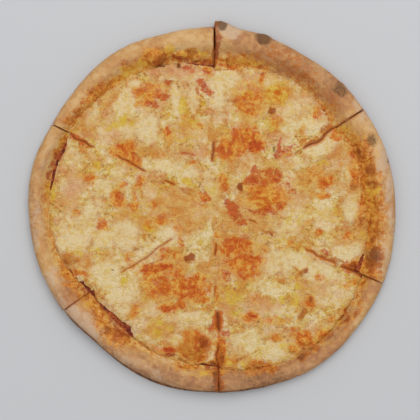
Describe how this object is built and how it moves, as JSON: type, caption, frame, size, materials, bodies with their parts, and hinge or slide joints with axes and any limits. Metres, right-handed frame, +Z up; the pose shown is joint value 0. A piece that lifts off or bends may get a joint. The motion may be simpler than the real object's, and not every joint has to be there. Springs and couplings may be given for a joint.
{
  "type": "margherita pizza",
  "caption": "Round cheese and tomato pizza with a puffed browned rim, cut into wedge slices that still lie together as the whole.",
  "frame": {"origin": "middle of the pizza's bounding box on the surface that it rests on", "axes": "+Z up out of the toppings, +Y towards the cut whose right corner sticks out as a floury lip"},
  "size_m": [0.32, 0.3246, 0.0196],
  "materials": {
    "dough": "matte, floury, browned in patches",
    "sauce": "moist, satin",
    "cheese": "oily, satin, browned in spots"
  },
  "bodies": {
    "root": {"dough_1": "dough", "dough_2": "dough", "dough_3": "dough", "dough_4": "dough", "dough_5": "dough", "dough_6": "dough", "sauce_1": "sauce", "sauce_2": "sauce", "sauce_3": "sauce", "sauce_4": "sauce", "sauce_5": "sauce", "sauce_6": "sauce", "cheese_1": "cheese", "cheese_2": "cheese", "cheese_3": "cheese", "cheese_4": "cheese", "cheese_5": "cheese", "cheese_6": "cheese"}
  },
  "joints": []
}
